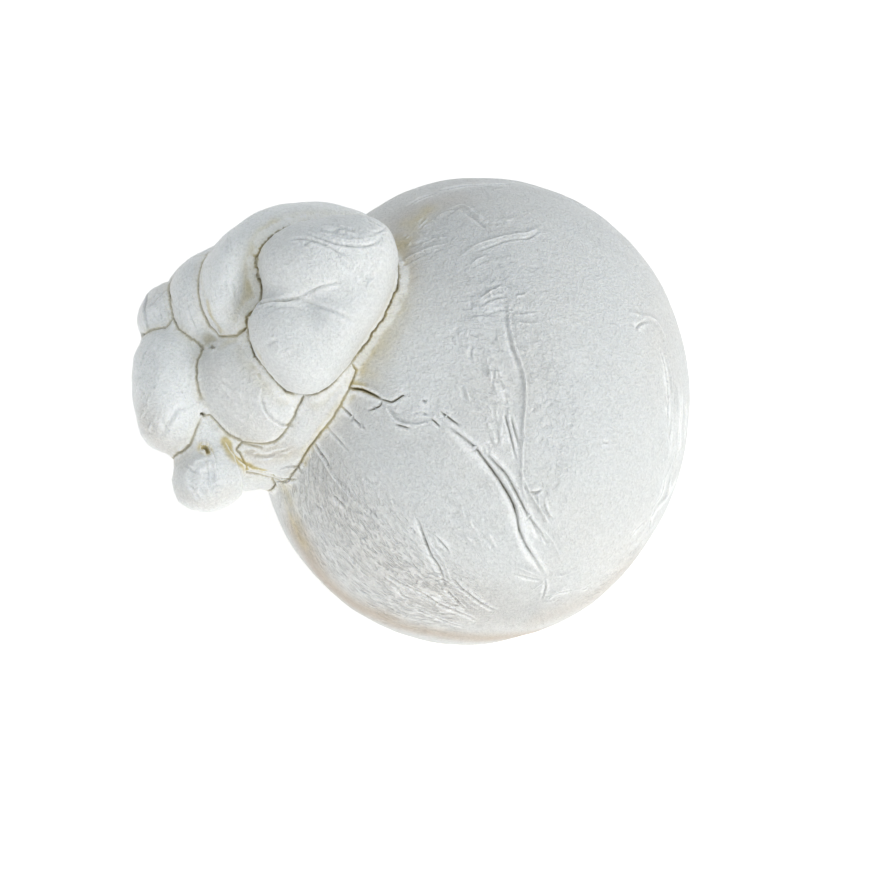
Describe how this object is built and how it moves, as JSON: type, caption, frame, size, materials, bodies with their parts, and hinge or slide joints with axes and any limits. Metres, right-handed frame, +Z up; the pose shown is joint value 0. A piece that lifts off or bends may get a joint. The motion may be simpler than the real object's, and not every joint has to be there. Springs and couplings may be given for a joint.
{
  "type": "buffalo scamorza",
  "caption": "Whole fresh scamorza of stretched buffalo curd: a heavy white ball with its knotted, many-lobed head folded over one shoulder.",
  "frame": {"origin": "centre of the overall footprint, at the level of the flat spot the cheese rests on", "axes": "+Z up; +X towards the round side of the ball, away from the knotted head; -Y towards the front, where the head leans forward"},
  "size_m": [0.1454, 0.1174, 0.1224],
  "materials": {
    "curd": "moist satin skin"
  },
  "bodies": {
    "root": {"scamorza": "curd"}
  },
  "joints": []
}
